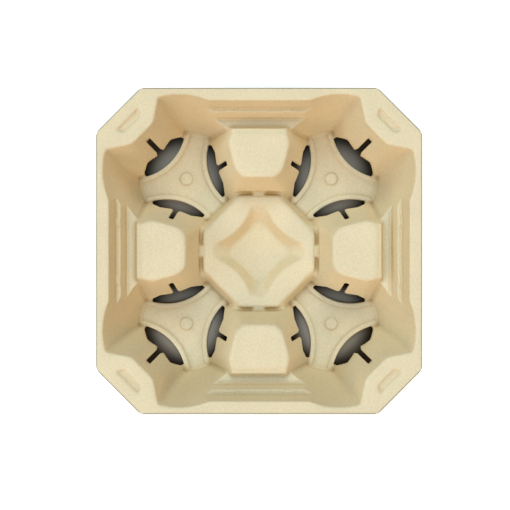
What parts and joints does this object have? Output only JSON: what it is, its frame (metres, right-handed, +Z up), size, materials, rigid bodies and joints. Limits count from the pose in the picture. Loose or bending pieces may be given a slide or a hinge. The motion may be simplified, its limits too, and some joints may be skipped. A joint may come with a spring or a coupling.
{
  "type": "cup carrier",
  "caption": "Tray moulded from paper pulp, open upwards, with tapered cup wells, saddles between them, a hub with a sunken star, and slit openings at the foot of each cheek.",
  "frame": {"origin": "middle of the tray, on the surface it stands on", "axes": "+Z up out of the wells; X and Y along the straight sides of the rim"},
  "size_m": [0.217, 0.217, 0.048],
  "materials": {
    "pulp": "rough fibre"
  },
  "bodies": {
    "root": {"cup_carrier": "pulp"}
  },
  "joints": []
}
